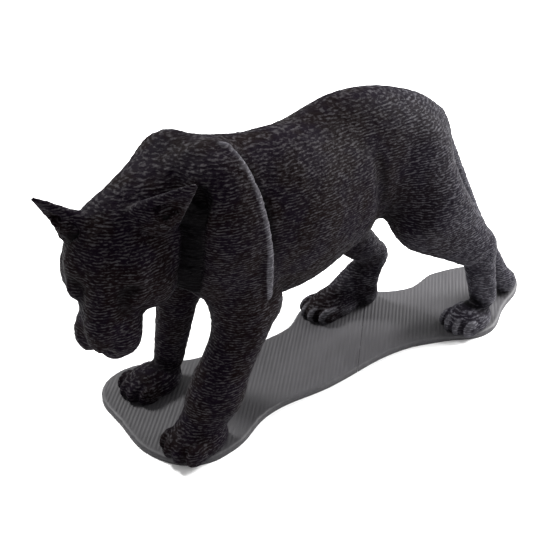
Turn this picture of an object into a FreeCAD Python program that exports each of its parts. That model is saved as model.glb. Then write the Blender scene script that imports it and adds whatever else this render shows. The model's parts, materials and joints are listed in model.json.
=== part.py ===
"""Walking panther figure on a ribbed plate, built as a kit of printed sections.

Frame: millimetres, +Z up, the head end towards -X, the animal's left side towards -Y.
The origin is on the underside of the base, at the middle of its length.
"""
import FreeCAD, Part
import math
import os

os.makedirs("parts", exist_ok=True)

V = FreeCAD.Vector
BIG = 600.0                      # a half space is a cube of this size

# ---------------------------------------------------------------- driving dimensions
DIMENSIONS = {
    # base
    "base_thick": 3.5, "seam_offset": 15.0, "seam_gap": 0.2,
    "splice_radius": 0.9, "splice_length": 20.0, "splice_fit": 0.05,
    # places where the figure comes apart
    "neck_plane": -122.0, "waist_plane": 5.0,
    "foreleg_plane": 66.0, "left_hind_plane": 78.0, "right_hind_plane": 64.0,
    # dowels and screws
    "dowel_radius": 3.0, "dowel_length": 20.0, "dowel_clearance": 0.1, "dowel_spare": 1.0,
    "screw_radius": 1.5, "screw_length": 13.0, "screw_recess": 0.3,
    "screw_head_radius": 2.8, "screw_head_depth": 1.6, "screw_clearance": 0.2,
    "screw_bite": 0.05, "sink_spare": 0.6,
    "drive_long": 3.6, "drive_wide": 0.8, "drive_deep": 1.0,
    # trunk muscles: half length, half width, half height
    "ribs_long": 64.0, "ribs_wide": 36.0, "ribs_high": 45.0,
    "loin_long": 50.0, "loin_wide": 28.0, "loin_high": 40.0,
    "croup_long": 45.0, "croup_wide": 31.0, "croup_high": 33.0,
    "blade_long": 23.0, "blade_wide": 15.0, "blade_high": 40.0,
    "thigh_long": 24.0, "thigh_wide": 16.0, "thigh_high": 35.0,
    # head: half sizes along the muzzle, across, and towards the crown
    "skull_long": 29.0, "skull_wide": 27.0, "skull_high": 23.0,
    "bridge_long": 21.0, "bridge_wide": 17.0, "bridge_high": 16.0,
    "nose_long": 12.0, "nose_wide": 16.0, "nose_high": 14.0,
    "chin_long": 17.0, "chin_wide": 13.0, "chin_high": 10.0,
    "cheek_long": 14.0, "cheek_wide": 11.0, "cheek_high": 15.0,
    "head_turn": 37.0, "head_drop": 53.0, "head_tilt": 4.0,
    "ear_root": 9.0, "ear_tip": 1.5,
    # paws
    "fore_paw_long": 18.0, "fore_paw_wide": 13.0, "fore_paw_high": 11.0,
    "hind_paw_long": 18.0, "hind_paw_wide": 12.0, "hind_paw_high": 10.0,
}

# Places, in millimetres.
SPINE_Y = -5.0
HEAD_PLACE = V(-149, -10, 112)
NECK_DOWELS = ((-19, 124), (5, 124))                    # y and z on the neck plane
WAIST_DOWELS = ((-16, 112), (8, 112), (-4, 142))        # y and z on the waist plane
LEFT_EAR = ((-18, -21, 18), (-35, -41, 37))             # root and tip, on the head's own axes
RIGHT_EAR = ((-13, 19, 13), (-20.5, 35.5, 30))
SPLICE_PINS = (-8.0, 14.0)                              # along the seam

# Outline of the base, anticlockwise from the nose end, seen from above.
BASE_OUTLINE = [
    (-146, 8), (-145, -27), (-130, -44.5), (-110, -46), (-75, -33), (-35, -34), (25, -32),
    (50, -40), (77, -51), (106, -38), (138, -20), (141, -5), (102, 18), (72, 15),
    (34, 36), (4, 37), (-20, 25), (-76, 32), (-100, 41), (-116, 49), (-139, 40),
]

# Limbs: (place, radius) from the root to just above the paw, then the paw's own centre.
LIMBS = {
    "left_foreleg": dict(
        path=[((-90, -20, 120), 11), ((-92, -25, 102), 17), ((-93, -31, 72), 15),
              ((-99, -34, 50), 13.5), ((-112, -34, 28), 12), ((-120, -33, 10), 10.5)],
        paw=(-126, -33, 6), plane="foreleg_plane", joint=(-94, -32)),
    "right_foreleg": dict(
        path=[((-92, 14, 118), 11), ((-92, 19, 100), 16), ((-92, 24, 70), 13.5),
              ((-97, 26, 44), 11.5), ((-102, 28, 24), 9.5), ((-107, 27, 9), 10)],
        paw=(-115, 26, 5), plane="foreleg_plane", joint=(-93, 24)),
    "left_hind_leg": dict(
        path=[((24, -14, 118), 14), ((34, -23, 104), 21), ((48, -31, 84), 19),
              ((65, -35, 65), 14), ((78, -37, 50), 10.5), ((83, -38, 32), 9),
              ((84, -39, 12), 9.5)],
        paw=(73, -38, 7), plane="left_hind_plane", joint=(49, -31)),
    "right_hind_leg": dict(
        path=[((12, 6, 108), 12), ((14, 11, 92), 18), ((18, 14, 68), 14.5),
              ((31, 16, 49), 11.5), ((41, 18, 35), 9), ((39, 20, 22), 8.5), ((31, 23, 9), 9)],
        paw=(22, 24, 6), plane="right_hind_plane", joint=(19, 14)),
}
TAIL = [((60, -7, 131), 8), ((77, -10, 97), 6.5), ((92, -14, 64), 6),
        ((106, -18, 36), 5.8), ((117, -21, 15), 5.4), ((126, -23, 8.5), 4.6)]

doc = FreeCAD.newDocument("panther_figure")
sheet = doc.addObject("Spreadsheet::Sheet", "sizes")
for row, (word, value) in enumerate(DIMENSIONS.items(), start=1):
    sheet.set("A%d" % row, word)
    sheet.set("B%d" % row, str(value))
    sheet.setAlias("B%d" % row, word)
doc.recompute()


def size(word):
    """A driving dimension, read back from the sheet."""
    return float(sheet.get(word))


def bind(thing, **sizes):
    """Bind properties of a document object to cells of the sheet."""
    for prop, expression in sizes.items():
        thing.setExpression(prop, expression)
    return thing


def cell(word):
    return "sizes." + word


# ---------------------------------------------------------------- building blocks
def ellipsoid(name, muscle, place, rotation=FreeCAD.Rotation()):
    """A muscle: half sizes from the sheet's cells muscle_long, _wide and _high."""
    thing = doc.addObject("Part::Ellipsoid", name)
    thing.Angle1, thing.Angle2, thing.Angle3 = -90, 90, 360
    bind(thing, Radius1=cell(muscle + "_high"), Radius2=cell(muscle + "_long"),
         Radius3=cell(muscle + "_wide"))
    thing.Placement = FreeCAD.Placement(V(*place), rotation)
    return thing


def fuse(name, shapes):
    """One solid from overlapping ones, joined one after another."""
    thing = shapes[0]
    for i, shape in enumerate(shapes[1:]):
        joined = doc.addObject("Part::Fuse", "%s_fuse_%d" % (name, i))
        joined.Base, joined.Tool = thing, shape
        thing = joined
    return thing


def group(name, things):
    """Separate solids that share one node or one cut."""
    thing = doc.addObject("Part::Compound", name)
    thing.Links = things
    return thing


def common(name, base, *tools):
    """What the base shares with the first tool, then with the next."""
    thing = base
    for i, tool in enumerate(tools):
        shared = doc.addObject("Part::Common", name + "_common_%d" % i)
        shared.Base, shared.Tool = thing, tool
        thing = shared
    return thing


def cut(name, base, tools):
    """The base less every tool, one after another."""
    thing = base
    for i, tool in enumerate(tools):
        less = doc.addObject("Part::Cut", "%s_cut_%d" % (name, i))
        less.Base, less.Tool = thing, tool
        thing = less
    return thing


def half_space(name, axis, expression, side):
    """A large cube on one side (+1 or -1) of a plane across axis x, y or z."""
    thing = doc.addObject("Part::Box", name)
    thing.Length = thing.Width = thing.Height = BIG
    thing.Placement = FreeCAD.Placement(V(-BIG / 2, -BIG / 2, -BIG / 2), FreeCAD.Rotation())
    shift = "" if side > 0 else " - %g" % BIG
    thing.setExpression("Placement.Base." + axis, expression + shift)
    return thing


def facing(direction):
    """The rotation that turns +Z to a direction and keeps +Y as close to level as it can."""
    return FreeCAD.Rotation(V(0, 0, 0), V(0, 1, 0), direction, "ZYX")


def limb_loft(name, path):
    """A smooth limb through round sections, each square to the path."""
    places = [V(*place) for place, radius in path]
    sections = []
    for i, (place, radius) in enumerate(path):
        ahead = places[min(i + 1, len(places) - 1)]
        behind = places[max(i - 1, 0)]
        ring = doc.addObject("Part::Circle", "%s_ring_%d" % (name, i))
        ring.Radius = radius
        ring.Placement = FreeCAD.Placement(places[i], facing(ahead - behind))
        sections.append(ring)
    loft = doc.addObject("Part::Loft", name)
    loft.Sections, loft.Solid, loft.Ruled = sections, True, False
    return loft


def rod(name, place, direction, radius, length):
    """A round bar, radius and length given as expressions, that starts at a place."""
    thing = doc.addObject("Part::Cylinder", name)
    bind(thing, Radius=radius, Height=length)
    thing.Placement = FreeCAD.Placement(V(*place), facing(V(*direction)))
    return thing


def dowel_and_socket(name, middle, direction):
    """A dowel centred on a joint plane, and the longer, wider hole that takes it."""
    along = V(*direction)
    half = size("dowel_length") / 2
    start = V(*middle) - along * half
    dowel = rod(name, start, direction, cell("dowel_radius"), cell("dowel_length"))
    socket = rod(name + "_socket", start - along * size("dowel_spare"), direction,
                 "sizes.dowel_radius + sizes.dowel_clearance",
                 "sizes.dowel_length + 2 * sizes.dowel_spare")
    return dowel, socket


# ---------------------------------------------------------------- trunk
ribs = ellipsoid("ribs", "ribs", (-59, SPINE_Y - 6, 112))
loin = ellipsoid("loin", "loin", (-2, SPINE_Y + 2, 121))
croup = ellipsoid("croup", "croup", (26, SPINE_Y + 1, 122))
left_blade = ellipsoid("left_blade", "blade", (-95, -26, 118))
right_blade = ellipsoid("right_blade", "blade", (-101, 17, 114))
left_thigh = ellipsoid("left_thigh", "thigh", (38, -25, 106))
right_thigh = ellipsoid("right_thigh", "thigh", (16, 11, 96))
neck = limb_loft("neck", [((-90, SPINE_Y, 126), 36), ((-122, SPINE_Y - 2, 124), 31),
                          ((-148, SPINE_Y - 4, 120), 24)])

above_base = half_space("above_base", "z", cell("base_thick"), 1)
ahead_of_neck = half_space("ahead_of_neck", "x", cell("neck_plane"), -1)
behind_neck = half_space("behind_neck", "x", cell("neck_plane"), 1)
ahead_of_waist = half_space("ahead_of_waist", "x", cell("waist_plane"), -1)
behind_waist = half_space("behind_waist", "x", cell("waist_plane"), 1)


# ---------------------------------------------------------------- limbs
def limb(name, path, paw, plane, joint):
    """Both ends of one limb: the stump that stays on the trunk, and the leg with its paw."""
    kind = "fore" if "fore" in name else "hind"
    shaft = limb_loft(name + "_shaft", path)
    upper = half_space(name + "_upper", "z", cell(plane), 1)
    lower = half_space(name + "_lower", "z", cell(plane), -1)
    stump = common(name + "_stump", shaft, upper)
    foot = ellipsoid(name + "_foot", kind + "_paw", paw)
    flesh = fuse(name + "_flesh", [common(name + "_shank", shaft, lower), foot])
    leg = common(name + "_solid", flesh, above_base)
    dowel, socket = dowel_and_socket(name + "_dowel", (joint[0], joint[1], size(plane)), (0, 0, 1))
    pilot = rod(name + "_pilot", (paw[0], paw[1], 0), (0, 0, 1),
                "sizes.screw_radius + sizes.screw_bite",
                "sizes.screw_length + sizes.screw_recess + sizes.dowel_spare")
    return dict(stump=stump, leg=cut(name, leg, [socket, pilot]), dowel=dowel,
                socket=socket, paw=paw)


limbs = {name: limb(name, **spec) for name, spec in LIMBS.items()}


def limb_parts(key, *names):
    return [limbs[name][key] for name in names]


# ---------------------------------------------------------------- trunk sections
fore = ("left_foreleg", "right_foreleg")
hind = ("left_hind_leg", "right_hind_leg")

neck_dowels = [dowel_and_socket("neck_dowel_%d" % i, (size("neck_plane"), y, z), (1, 0, 0))
               for i, (y, z) in enumerate(NECK_DOWELS)]
waist_dowels = [dowel_and_socket("waist_dowel_%d" % i, (size("waist_plane"), y, z), (1, 0, 0))
                for i, (y, z) in enumerate(WAIST_DOWELS)]

shoulder = fuse("shoulder_mass", [ribs, loin, neck, left_blade, right_blade]
                + limb_parts("stump", *fore))
chest_solid = common("chest_solid", shoulder, ahead_of_waist, behind_neck)
chest = cut("chest_section", chest_solid, limb_parts("socket", *fore)
            + [socket for dowel, socket in neck_dowels + waist_dowels])

haunch = fuse("haunch_mass", [loin, croup, left_thigh, right_thigh]
              + limb_parts("stump", *hind))
above_knee = half_space("above_knee", "z", cell("right_hind_plane"), 1)
hip_solid = common("hip_solid", haunch, behind_waist, above_knee)

# ---------------------------------------------------------------- head
turn, drop, tilt = (math.radians(size(word)) for word in ("head_turn", "head_drop", "head_tilt"))
forward = V(-math.cos(drop) * math.cos(turn), -math.cos(drop) * math.sin(turn), -math.sin(drop))
level = V(-math.sin(turn), math.cos(turn), 0)          # towards the animal's right ear
crown = V(-math.sin(drop) * math.cos(turn), -math.sin(drop) * math.sin(turn), math.cos(drop))
across = level * math.cos(tilt) + crown * math.sin(tilt)
top = crown * math.cos(tilt) - level * math.sin(tilt)
head_turned = FreeCAD.Rotation(forward, across, top, "XZY")


def on_head(ahead, right, up):
    """A place given along the muzzle, towards the right ear and towards the crown."""
    return HEAD_PLACE + forward * ahead + across * right + top * up


def head_part(name, kind, ahead, right, up):
    return ellipsoid(name, kind, on_head(ahead, right, up), head_turned)


head_flesh = fuse("head_flesh", [
    neck,
    head_part("skull", "skull", -4, 0, 0),
    head_part("bridge", "bridge", 19, 0, -3),
    head_part("nose", "nose", 32, 0, -6),
    head_part("chin", "chin", 28, 0, -18),
    head_part("left_cheek", "cheek", 4, -17, -5),
    head_part("right_cheek", "cheek", 4, 17, -5),
])
head_solid = common("head_solid", head_flesh, ahead_of_neck)


def ear(name, root, tip):
    """A cone whose root end sits in a seat of the same shape in the skull."""
    axis = tip - root
    cone = doc.addObject("Part::Cone", name + "_cone")
    bind(cone, Radius1=cell("ear_root"), Radius2=cell("ear_tip"))
    cone.Height = axis.Length
    cone.Placement = FreeCAD.Placement(root, facing(axis))
    return cone


ears = {
    "left_ear": ear("left_ear", on_head(*LEFT_EAR[0]), on_head(*LEFT_EAR[1])),
    "right_ear": ear("right_ear", on_head(*RIGHT_EAR[0]), on_head(*RIGHT_EAR[1])),
}
head = cut("head", head_solid, [socket for dowel, socket in neck_dowels] + list(ears.values()))

# ---------------------------------------------------------------- tail
tail_solid = limb_loft("tail_shaft", TAIL)
tail = common("tail", tail_solid, above_base)
hip = cut("hip_section", hip_solid, limb_parts("socket", *hind)
          + [socket for dowel, socket in waist_dowels] + [tail_solid])

# ---------------------------------------------------------------- base
curve = Part.BSplineCurve()
curve.interpolate(Points=[V(x, y, 0) for x, y in BASE_OUTLINE], PeriodicFlag=True)
outline = doc.addObject("Part::Feature", "base_outline")
outline.Shape = Part.Face(Part.Wire(curve.toShape()))
slab = doc.addObject("Part::Extrusion", "base_slab")
slab.Base, slab.DirMode, slab.Dir, slab.Solid = outline, "Custom", V(0, 0, 1), True
bind(slab, LengthFwd=cell("base_thick"))

# The seam runs at 45 degrees to the length, the same way as the ribs.
SEAM_ALONG = V(1, 1, 0).normalize()
SEAM_ACROSS = V(1, -1, 0).normalize()


def seam_side(name, side):
    """The half space on one side of the seam, half the gap away from it."""
    thing = doc.addObject("Part::Box", name)
    thing.Length = thing.Width = thing.Height = BIG
    offset = size("seam_offset") + side * size("seam_gap") / 2
    start = offset if side > 0 else offset - BIG
    corner = SEAM_ACROSS * start - SEAM_ALONG * (BIG / 2) - V(0, 0, BIG / 2)
    thing.Placement = FreeCAD.Placement(corner, FreeCAD.Rotation(V(0, 0, 1), -45))
    return thing


def screw_stack(name, x, y):
    """A countersunk screw up through the plate, and the hole that clears it."""
    recess = size("screw_recess")
    shank = rod(name + "_shank", (x, y, recess), (0, 0, 1), cell("screw_radius"),
                cell("screw_length"))
    head_cone = doc.addObject("Part::Cone", name + "_head")
    bind(head_cone, Radius1=cell("screw_head_radius"), Radius2=cell("screw_radius"),
         Height=cell("screw_head_depth"))
    head_cone.Placement = FreeCAD.Placement(V(x, y, recess), FreeCAD.Rotation())
    slot = doc.addObject("Part::Box", name + "_drive")
    bind(slot, Length=cell("drive_long"), Width=cell("drive_wide"),
         Height="sizes.drive_deep + sizes.screw_recess")
    corner = V(x - size("drive_long") / 2, y - size("drive_wide") / 2, 0)
    slot.Placement = FreeCAD.Placement(corner, FreeCAD.Rotation())
    screw = cut(name, fuse(name + "_body", [shank, head_cone]), [slot])
    clear = rod(name + "_clear", (x, y, -1), (0, 0, 1),
                "sizes.screw_radius + sizes.screw_clearance", "sizes.base_thick + 2")
    sink = doc.addObject("Part::Cone", name + "_sink")
    bind(sink, Radius1="sizes.screw_head_radius + sizes.sink_spare",
         Radius2="sizes.screw_radius + sizes.sink_spare",
         Height="sizes.screw_head_depth + sizes.screw_recess + sizes.sink_spare")
    sink.Placement = FreeCAD.Placement(V(x, y, 0), FreeCAD.Rotation())
    return screw, [clear, sink]


screws = {name: screw_stack(name + "_screw", parts["paw"][0], parts["paw"][1])
          for name, parts in limbs.items()}
splices = []
for i, along in enumerate(SPLICE_PINS):
    middle = SEAM_ACROSS * size("seam_offset") + SEAM_ALONG * along
    level_z = size("base_thick") / 2
    start = middle - SEAM_ACROSS * (size("splice_length") / 2) + V(0, 0, level_z)
    pin = rod("splice_%d" % i, start, SEAM_ACROSS, cell("splice_radius"), cell("splice_length"))
    hole = rod("splice_hole_%d" % i, start - SEAM_ACROSS, SEAM_ACROSS,
               "sizes.splice_radius + sizes.splice_fit", "sizes.splice_length + 2")
    splices.append((pin, hole))
splice_holes = [hole for pin, hole in splices]


def plate(name, side, leg_names):
    piece = common(name + "_solid", slab, seam_side(name + "_side", side))
    holes = [hole for leg in leg_names for hole in screws[leg][1]]
    return cut(name, piece, holes + splice_holes)


# ---------------------------------------------------------------- named pieces
# The seam runs behind the right hind paw, so the front plate takes three of the four paws.
pieces = {
    "base_front_plate": plate("base_front_plate", -1, fore + ("right_hind_leg",)),
    "base_rear_plate": plate("base_rear_plate", 1, ("left_hind_leg",)),
    "base_splice_pins": group("base_splice_pins", [pin for pin, hole in splices]),
    "chest_section": chest,
    "hip_section": hip,
    "head": head,
    "left_ear": ears["left_ear"],
    "right_ear": ears["right_ear"],
    "tail": tail,
    "neck_dowels": group("neck_dowels", [dowel for dowel, socket in neck_dowels]),
    "waist_dowels": group("waist_dowels", [dowel for dowel, socket in waist_dowels]),
    "foreleg_dowels": group("foreleg_dowels", limb_parts("dowel", *fore)),
    "hind_leg_dowels": group("hind_leg_dowels", limb_parts("dowel", *hind)),
    "paw_screws": group("paw_screws", [screws[name][0] for name in LIMBS]),
}
pieces.update({name: limbs[name]["leg"] for name in LIMBS})

doc.recompute()
for thing in doc.Objects:
    if "Invalid" in thing.State or "Error" in thing.State:
        raise RuntimeError("%s did not build: %s" % (thing.Name, thing.State))
for name, piece in pieces.items():
    piece.Label = name
    shape = piece.Shape
    if shape.isNull() or not shape.isValid():
        raise RuntimeError(name + " has no valid shape")
    print("%-18s solids %d  volume %9.0f" % (name, len(shape.Solids), shape.Volume))
    shape.exportStep("parts/%s.step" % name)
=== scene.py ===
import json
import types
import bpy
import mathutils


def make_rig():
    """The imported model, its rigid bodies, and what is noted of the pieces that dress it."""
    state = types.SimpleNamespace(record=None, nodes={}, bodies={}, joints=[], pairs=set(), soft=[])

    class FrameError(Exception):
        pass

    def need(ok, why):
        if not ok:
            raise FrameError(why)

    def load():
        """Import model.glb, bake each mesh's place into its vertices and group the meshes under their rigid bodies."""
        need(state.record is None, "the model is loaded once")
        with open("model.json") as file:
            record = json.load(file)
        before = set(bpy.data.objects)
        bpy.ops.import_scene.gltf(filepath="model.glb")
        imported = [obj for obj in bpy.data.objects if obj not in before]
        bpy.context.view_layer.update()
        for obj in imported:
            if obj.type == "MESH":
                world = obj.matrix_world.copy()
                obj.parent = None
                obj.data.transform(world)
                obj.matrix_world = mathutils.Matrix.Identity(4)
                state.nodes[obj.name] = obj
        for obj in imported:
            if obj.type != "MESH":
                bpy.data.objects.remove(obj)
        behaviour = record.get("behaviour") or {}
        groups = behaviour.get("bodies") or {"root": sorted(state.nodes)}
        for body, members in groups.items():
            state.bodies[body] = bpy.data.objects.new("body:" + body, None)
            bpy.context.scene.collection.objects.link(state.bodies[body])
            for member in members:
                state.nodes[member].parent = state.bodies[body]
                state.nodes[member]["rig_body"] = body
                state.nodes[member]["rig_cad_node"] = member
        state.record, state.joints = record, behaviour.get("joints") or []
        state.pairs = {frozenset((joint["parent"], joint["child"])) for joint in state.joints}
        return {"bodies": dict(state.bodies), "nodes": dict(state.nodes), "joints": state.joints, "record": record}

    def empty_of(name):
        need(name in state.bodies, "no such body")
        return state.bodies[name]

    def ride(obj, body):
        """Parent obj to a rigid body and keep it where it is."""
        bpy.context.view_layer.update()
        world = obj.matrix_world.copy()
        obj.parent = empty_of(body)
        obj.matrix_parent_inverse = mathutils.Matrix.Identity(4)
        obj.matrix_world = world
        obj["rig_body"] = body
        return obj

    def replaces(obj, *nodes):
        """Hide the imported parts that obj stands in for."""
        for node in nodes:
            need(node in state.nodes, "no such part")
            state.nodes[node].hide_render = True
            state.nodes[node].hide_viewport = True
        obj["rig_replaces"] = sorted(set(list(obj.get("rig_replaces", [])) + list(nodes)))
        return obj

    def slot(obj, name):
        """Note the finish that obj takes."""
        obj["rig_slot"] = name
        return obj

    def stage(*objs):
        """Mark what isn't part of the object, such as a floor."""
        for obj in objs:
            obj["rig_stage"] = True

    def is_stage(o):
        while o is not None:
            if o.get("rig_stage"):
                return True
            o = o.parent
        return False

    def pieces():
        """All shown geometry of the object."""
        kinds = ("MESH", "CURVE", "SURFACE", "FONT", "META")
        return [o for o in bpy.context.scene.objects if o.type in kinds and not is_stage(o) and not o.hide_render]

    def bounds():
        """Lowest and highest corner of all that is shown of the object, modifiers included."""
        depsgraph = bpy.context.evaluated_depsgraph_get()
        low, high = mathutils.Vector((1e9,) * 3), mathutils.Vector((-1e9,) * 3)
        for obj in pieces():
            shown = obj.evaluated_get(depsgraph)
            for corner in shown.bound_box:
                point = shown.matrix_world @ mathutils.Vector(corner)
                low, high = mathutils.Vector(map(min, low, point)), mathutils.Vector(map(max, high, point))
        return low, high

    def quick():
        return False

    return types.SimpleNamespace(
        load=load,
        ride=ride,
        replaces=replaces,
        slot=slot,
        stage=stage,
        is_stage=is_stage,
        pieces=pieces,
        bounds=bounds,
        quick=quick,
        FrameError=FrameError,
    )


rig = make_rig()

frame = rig.load()

import itertools
import json
import math

import bmesh
import bpy
import numpy as np
from mathutils import Matrix, Vector

bl_info = {
    "name": "Panther Shelf Figure",
    "version": (1, 0, 0),
    "blender": (4, 5, 0),
    "location": "3D View > Sidebar > Panther",
    "description": "Builds a printed prowling panther on its ribbed two-plate base",
    "category": "Add Mesh",
}

MM = 0.001
BASE_TOP = 3.5
SEAM_OFFSET = 15.0
SEAM_GAP = 0.2
NECK_X = -122.0
WAIST_X = 5.0
FORELEG_Z = 66.0
LEFT_HIND_Z = 78.0
RIGHT_HIND_Z = 64.0
TAIL_ROOT = (78.5, -10.0, 97.0)
TAIL_WAY = (15.0, -3.5, -32.0)
EAR_CUT = 11.0
EAR_WIDTH = 9.6

# The base's edge, seen from above, in millimetres.
BASE_OUTLINE = (
    (-146, 8), (-145, -27), (-130, -44.5), (-110, -46), (-75, -33), (-35, -34), (25, -32),
    (50, -40), (77, -51), (106, -38), (138, -20), (141, -5), (102, 18), (72, 15),
    (34, 36), (4, 37), (-20, 25), (-76, 32), (-100, 41), (-116, 49), (-139, 40),
)
SCREWS = ((-126, -33), (-115, 26), (73, -38), (22, 24))
POCKET_WIDE, POCKET_NARROW, POCKET_DEPTH, POCKET_MIDDLE = 4.15, 1.7, 2.9, 1.2

# The base's rim: how high its foot stands, then how far in and up each step of its edge goes.
RIM_FOOT = 1.3
RIM_STEPS = ((0.02, 1.1), (0.25, 0.55), (0.45, 0.35), (0.6, 0.18), (0.8, 0.02))
RIB_CELL = 4.2
RIB_WAVER = 0.035

# The cuts that part the body, in order: a place on the plane, its way, and the box it stays in.
NECK_CUT = ((NECK_X, 0, 0), (1, 0, 0), (-200, -38.5, 48), (0, 80, 200))
BODY_CUTS = (
    NECK_CUT,
    ((0, 0, FORELEG_Z), (0, 0, 1), (-122, -70, 40), (-62, 60, 90)),
    ((0, 0, RIGHT_HIND_Z), (0, 0, 1), (-10, -2, 50), (50, 60, 80)),
    ((0, 0, LEFT_HIND_Z), (0, 0, 1), (5.2, -80, 60), (80, -3, 95)),
    ((WAIST_X, 0, 0), (1, 0, 0), (-50, -80, RIGHT_HIND_Z), (50, 80, 200)),
    (TAIL_ROOT, TAIL_WAY, (64, -22, 80), (95, 4, 115)),
)

HEAD_CELL = 0.66
QUICK_CELL = 2.2
HEAD_FUZZ = 0.9
SMALLEST_SHELL = 60
CAP_CORNERS = 8

# Colours of the body: the dark ground and the light strokes, in front and at the hips; the hip colours are painted
# lighter, as painted light.
# the GROUND_REAR and STROKE_REAR colours are lighter as painted light on the hips
GROUND_PURPLE = (0.0019, 0.0005, 0.0027, 1.0)
GROUND_MAROON = (0.0022, 0.0005, 0.0008, 1.0)
GROUND_REAR = (0.0080, 0.0070, 0.0105, 1.0)
STROKE_FRONT = (0.0280, 0.0255, 0.0280, 1.0)
STROKE_REAR = (0.0720, 0.0700, 0.0820, 1.0)
# painted highlight on the shoulder's edge
RIDGE_HIGHLIGHT_PAINT = (0.110, 0.107, 0.120, 1.0)
# painted shade, black in the folds and where the clay closes in
SHADE_BLACK_PAINT = (0.0003, 0.0002, 0.0004, 1.0)
BODY_SHEEN = (0.90, 0.92, 1.0, 1.0)
BASE_DARK = (0.010, 0.009, 0.011, 1.0)
BASE_LIGHT = (0.042, 0.040, 0.045, 1.0)
LAYER_PITCH = 1.35

# Where each lamp stands in metres, how wide it is, and which setting holds its power.
LAMPS = (("key", (-0.3, 1.0, 1.05), 0.3), ("rear", (0.85, -0.15, 0.55), 0.6),
         ("front", (-0.9, -0.6, 1.0), 1.2))
LAMP_TARGET = (-0.01, 0.0, 0.06)
EYE_AT = (-0.3655, -0.4172, 0.378)
EYE_TURN = (59.05, 0.0, -37.4)
EYE_LENS, EYE_SENSOR = 71.9, 36.0
FLOOR_SIZE = 3.0


# ---------------------------------------------------------------- clay

class Muscle:
    """A rounded form in millimetres; reach is how far it spreads from its middle."""

    def __init__(self, middle, reach):
        self.middle, self.reach = np.asarray(middle, float), reach

    def near(self, points, margin):
        offset = points - self.middle
        return np.einsum("ij,ij->i", offset, offset) < (self.reach + margin) ** 2

    def block(self, mesh):
        """Adds a rough stand-in for the form to a bmesh."""


class Clay(Muscle):
    """Muscles that flow into the ones laid on before; carved ones are taken away."""

    FAR = 40.0      # the distance that stands for anything far away
    MARGIN = 12.0   # how far past its reach and blend a muscle is still measured

    def __init__(self, middle=(0, 0, 0), reach=1000.0):
        super().__init__(middle, reach)
        self.layers = []

    def lay(self, muscle, blend):
        self.layers.append((muscle, blend, False))

    def carve(self, muscle, blend):
        self.layers.append((muscle, blend, True))

    def __call__(self, points):
        """How far each point is outside the surface; inside it is negative."""
        total = np.full(len(points), self.FAR)
        for muscle, blend, carving in self.layers:
            near = muscle.near(points, blend + self.MARGIN)
            if near.any():
                here, now = muscle(points[near]), total[near]
                total[near] = -melt(-now, here, blend) if carving else melt(now, here, blend)
        return total

    def block(self, mesh):
        for muscle, blend, carving in self.layers:
            if not carving:
                muscle.block(mesh)


def melt(first, second, blend):
    """The nearer of two distances, rounded where they are alike."""
    overlap = np.maximum(blend - np.abs(first - second), 0.0) / blend
    return np.minimum(first, second) - overlap * overlap * blend * 0.25


def unit(vector):
    vector = np.asarray(vector, float)
    return vector / np.linalg.norm(vector)


class Ball(Muscle):
    """An ellipsoid with its axes along the rows of turn."""

    def __init__(self, place, half, turn=None):
        super().__init__(place, max(half))
        self.half = np.asarray(half, float)
        self.turn = np.eye(3) if turn is None else turn

    def __call__(self, points):
        offset = (points - self.middle) @ self.turn.T
        near = np.linalg.norm(offset / self.half, axis=-1)
        steep = np.linalg.norm(offset / (self.half * self.half), axis=-1)
        return near * (near - 1.0) / np.maximum(steep, 1e-9)

    def block(self, mesh):
        scale = Matrix.Diagonal((*self.half, 1.0))
        turn = Matrix(self.turn.T.tolist()).to_4x4()
        bmesh.ops.create_icosphere(mesh, subdivisions=3, radius=1.0,
                                   matrix=Matrix.Translation(self.middle) @ turn @ scale)


class Bone(Muscle):
    """A limb with round ends; flat is (direction, how many times thinner that way)."""

    def __init__(self, start, end, start_radius, end_radius, flat=None):
        self.start, self.end = np.asarray(start, float), np.asarray(end, float)
        self.radii = start_radius, end_radius
        self.flat = flat
        run = self.end - self.start
        super().__init__((self.start + self.end) / 2,
                         np.linalg.norm(run) / 2 + max(self.radii))

    def __call__(self, points):
        start_radius, end_radius = self.radii
        run = self.end - self.start
        length2 = run @ run
        taper = start_radius - end_radius
        slant2 = length2 - taper * taper
        inverse = 1.0 / length2
        offset = points - self.start
        if self.flat is not None:
            side = np.asarray(self.flat[0], float)
            offset = offset + (offset @ side)[:, None] * side * (self.flat[1] - 1.0)
        along = offset @ run
        beyond = along - length2
        aside = offset * length2 - along[:, None] * run
        aside2 = np.einsum("ij,ij->i", aside, aside)
        start2, end2 = along * along * length2, beyond * beyond * length2
        edge = np.sign(taper) * taper * taper * aside2
        at_end = np.sqrt(aside2 + end2) * inverse - end_radius
        at_start = np.sqrt(aside2 + start2) * inverse - start_radius
        between = (np.sqrt(aside2 * slant2 * inverse) + along * taper) * inverse - start_radius
        return np.where(np.sign(beyond) * slant2 * end2 > edge, at_end,
                        np.where(np.sign(along) * slant2 * start2 < edge, at_start, between))

    def block(self, mesh):
        thin = np.eye(3)
        if self.flat is not None:
            side = np.asarray(self.flat[0], float)
            thin = thin - np.outer(side, side) * (1.0 - 1.0 / self.flat[1])
        thin = Matrix(thin.tolist()).to_4x4()
        steps = max(2, int(np.linalg.norm(self.end - self.start) / min(self.radii)) + 1)
        for step in np.linspace(0.0, 1.0, min(steps, 24)):
            place = self.start + (self.end - self.start) * step
            radius = self.radii[0] + (self.radii[1] - self.radii[0]) * step
            bmesh.ops.create_icosphere(mesh, subdivisions=2, radius=radius,
                                       matrix=Matrix.Translation(place) @ thin)


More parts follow.
